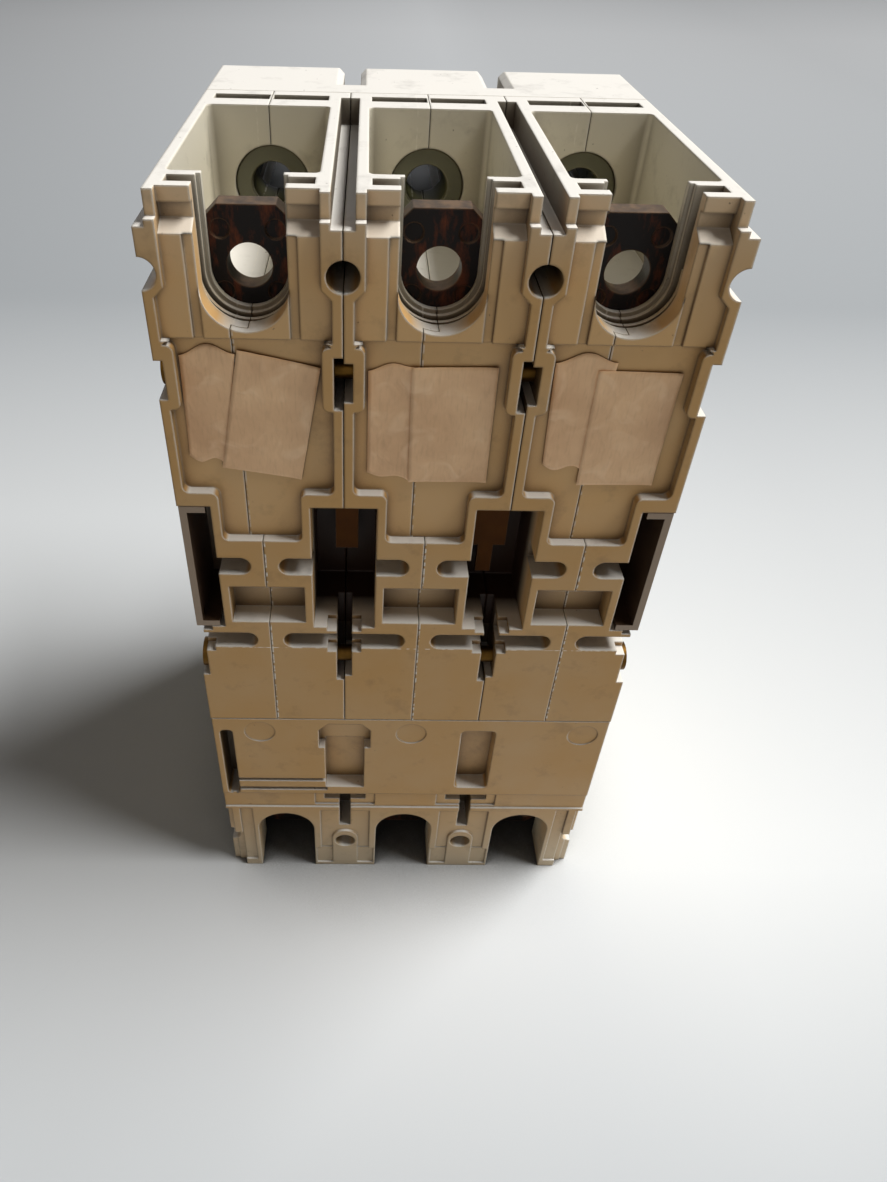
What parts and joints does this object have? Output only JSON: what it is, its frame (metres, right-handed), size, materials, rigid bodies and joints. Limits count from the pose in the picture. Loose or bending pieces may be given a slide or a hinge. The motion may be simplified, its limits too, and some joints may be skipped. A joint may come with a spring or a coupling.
{
  "type": "molded case circuit breaker",
  "caption": "Molded case circuit breaker with pole cassettes, toggle handle, rotary contacts, trip unit front with dials and a trip button, and screw terminals at both ends.",
  "frame": {"origin": "middle of the bounding box's lower face, at the load end", "axes": "+Z from the load end to the line end, +Y from the rear mounting face to the toggle handle, X across the poles"},
  "size_m": [0.1048, 0.125, 0.205],
  "materials": {
    "housing_thermoset": "moulded, fine matt",
    "cover_thermoset": "moulded, fine matt",
    "accessory_thermoset": "moulded, fine matt",
    "trip_cover_plastic": "moulded, fine matt",
    "phenolic_brown": "moulded phenolic",
    "rotor_thermoset": "moulded, filled with glass fibre",
    "handle_plastic": "moulded, matt",
    "trip_bar_plastic": "moulded",
    "button_plastic": "moulded",
    "dial_plastic": "moulded",
    "terminal_copper": "dark, tarnished",
    "inner_copper": "bright, bent bar",
    "brass_plate": "turned",
    "zinc_steel": "zinc plated",
    "pin_steel": "ground",
    "spring_steel": "drawn wire",
    "arc_plate_steel": "copper washed steel",
    "bimetal_strip": "rolled strip"
  },
  "bodies": {
    "case": {"accessory_cover": "accessory_thermoset", "accessory_cover_screws": "zinc_steel", "arc_chutes_1": "arc_plate_steel", "arc_chutes_2": "arc_plate_steel", "arc_chutes_3": "arc_plate_steel", "bimetals": "bimetal_strip", "cassette_1_left": "housing_thermoset", "cassette_1_right": "housing_thermoset", "cassette_2_left": "housing_thermoset", "cassette_2_right": "housing_thermoset", "cassette_3_left": "housing_thermoset", "cassette_3_right": "housing_thermoset", "cover_screws": "zinc_steel", "front_cover": "cover_thermoset", "joint_bolts": "zinc_steel", "line_end_cover": "cover_thermoset", "line_terminal_1": "terminal_copper", "line_terminal_2": "terminal_copper", "line_terminal_3": "terminal_copper", "load_contact_1": "inner_copper", "load_contact_2": "inner_copper", "load_contact_3": "inner_copper", "load_end_cover": "cover_thermoset", "load_terminal_1": "terminal_copper", "load_terminal_2": "terminal_copper", "load_terminal_3": "terminal_copper", "magnet_yokes": "zinc_steel", "mechanism_plate_left": "zinc_steel", "mechanism_plate_right": "zinc_steel", "mechanism_screws": "zinc_steel", "pivot_pins": "pin_steel", "rear_barrier_1": "phenolic_brown", "rear_barrier_2": "phenolic_brown", "side_shield_left": "phenolic_brown", "side_shield_right": "phenolic_brown", "tie_rod_nuts": "brass_plate", "tie_rods": "brass_plate", "trip_button_spring": "spring_steel", "trip_unit_case": "housing_thermoset", "trip_unit_cover": "trip_cover_plastic"},
    "handle": {"toggle_handle": "handle_plastic", "handle_yoke": "zinc_steel", "crank_pin": "pin_steel"},
    "rotors": {"rotor_1": "rotor_thermoset", "rotor_2": "rotor_thermoset", "rotor_3": "rotor_thermoset", "moving_contact_1": "inner_copper", "moving_contact_2": "inner_copper", "moving_contact_3": "inner_copper", "drive_rods": "pin_steel"},
    "link": {"drive_link": "zinc_steel"},
    "springs": {"operating_springs": "spring_steel"},
    "latch": {"trip_latch": "zinc_steel"},
    "trip_shaft": {"trip_bar": "trip_bar_plastic"},
    "button": {"trip_button": "button_plastic"},
    "thermal_dial": {"dial_thermal": "dial_plastic"},
    "magnetic_dial": {"dial_magnetic": "dial_plastic"},
    "armature_pole_1": {"armature_1": "zinc_steel"},
    "armature_pole_2": {"armature_2": "zinc_steel"},
    "armature_pole_3": {"armature_3": "zinc_steel"}
  },
  "joints": [
    {"name": "handle_swing", "type": "hinge", "parent": "case", "child": "handle", "pos_m": [0, 0.01928, 0.126], "axis": [1, 0, 0], "range_deg": [-5, 40]},
    {"name": "rotor_turn", "type": "hinge", "parent": "case", "child": "rotors", "pos_m": [0, -0.01672, 0.126], "axis": [1, 0, 0], "range_deg": [-5, 40]},
    {"name": "link_swing", "type": "hinge", "parent": "handle", "child": "link", "pos_m": [0, 0.02868, 0.12258], "axis": [1, 0, 0], "range_deg": [-40, 5]},
    {"name": "spring_swing", "type": "hinge", "parent": "case", "child": "springs", "pos_m": [0, 0.01278, 0.126], "axis": [1, 0, 0], "range_deg": [-3.1, 24.4]},
    {"name": "latch_swing", "type": "hinge", "parent": "case", "child": "latch", "pos_m": [0, 0.01728, 0.101], "axis": [1, 0, 0], "range_deg": [0, 8.94]},
    {"name": "trip_shaft_turn", "type": "hinge", "parent": "case", "child": "trip_shaft", "pos_m": [0, 0.02128, 0.05], "axis": [-1, 0, 0], "range_deg": [0, 11.29]},
    {"name": "button_press", "type": "slide", "parent": "case", "child": "button", "axis": [0, -1, 0], "range_m": [0, 0.002], "stiffness_N_per_m": 500, "springref_m": -0.002, "deforming": ["trip_button_spring"]},
    {"name": "thermal_dial_turn", "type": "hinge", "parent": "case", "child": "thermal_dial", "pos_m": [-0.026, 0.03228, 0.046], "axis": [0, 1, 0], "range_deg": [-90, 90]},
    {"name": "magnetic_dial_turn", "type": "hinge", "parent": "case", "child": "magnetic_dial", "pos_m": [-0.008, 0.03228, 0.046], "axis": [0, 1, 0], "range_deg": [-120, 120]},
    {"name": "armature_1_swing", "type": "hinge", "parent": "case", "child": "armature_pole_1", "pos_m": [-0.035, 0.00878, 0.0516], "axis": [-1, 0, 0], "range_deg": [0, 6]},
    {"name": "armature_2_swing", "type": "hinge", "parent": "case", "child": "armature_pole_2", "pos_m": [0, 0.00878, 0.0516], "axis": [-1, 0, 0], "range_deg": [0, 6]},
    {"name": "armature_3_swing", "type": "hinge", "parent": "case", "child": "armature_pole_3", "pos_m": [0.035, 0.00878, 0.0516], "axis": [-1, 0, 0], "range_deg": [0, 6]}
  ],
  "couplings": [
    {"joint": "rotor_turn", "follows": "handle_swing", "ratio": 1},
    {"joint": "link_swing", "follows": "handle_swing", "ratio": -1},
    {"joint": "spring_swing", "follows": "handle_swing", "ratio": 0.607},
    {"joint": "trip_shaft_turn", "follows": "button_press", "rad_per_m": 98.5},
    {"joint": "latch_swing", "follows": "button_press", "rad_per_m": 78}
  ]
}
